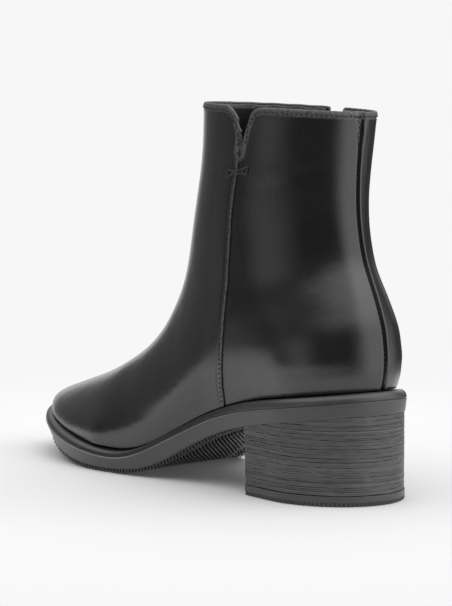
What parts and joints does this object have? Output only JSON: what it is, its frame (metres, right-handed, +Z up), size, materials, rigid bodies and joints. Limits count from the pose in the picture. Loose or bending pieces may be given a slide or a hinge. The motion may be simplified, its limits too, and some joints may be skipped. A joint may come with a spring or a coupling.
{
  "type": "leather ankle boot",
  "caption": "Smooth black leather ankle boot for the left foot with a stacked block heel, a moulded sole, a V notch at the outer collar and a zip on the inner side.",
  "frame": {"origin": "centre of the boot's plan box, on the floor", "axes": "+X towards the toe, +Y towards the outer side of the left foot, +Z up"},
  "size_m": [0.263, 0.0896, 0.179],
  "materials": {
    "leather": "smooth semi-gloss",
    "rubber": "matte",
    "stack": "finely ribbed, matte",
    "lining": "matte",
    "tape": "woven",
    "coil": "satin",
    "metal": "dark satin"
  },
  "bodies": {
    "boot": {"outsole": "rubber", "heel_block": "stack", "heel_lift": "rubber", "insole": "lining", "upper": "leather", "zip_tape": "tape", "zip_chain": "coil", "zip_slider": "metal"},
    "zip_pull": {"zip_pull": "metal"}
  },
  "joints": [
    {"name": "pull_hinge", "type": "hinge", "parent": "boot", "child": "zip_pull", "pos_m": [-0.05591, -0.03466, 0.16174], "axis": [-0.9794, -0.0853, -0.1828], "range_deg": [0, 150]}
  ]
}
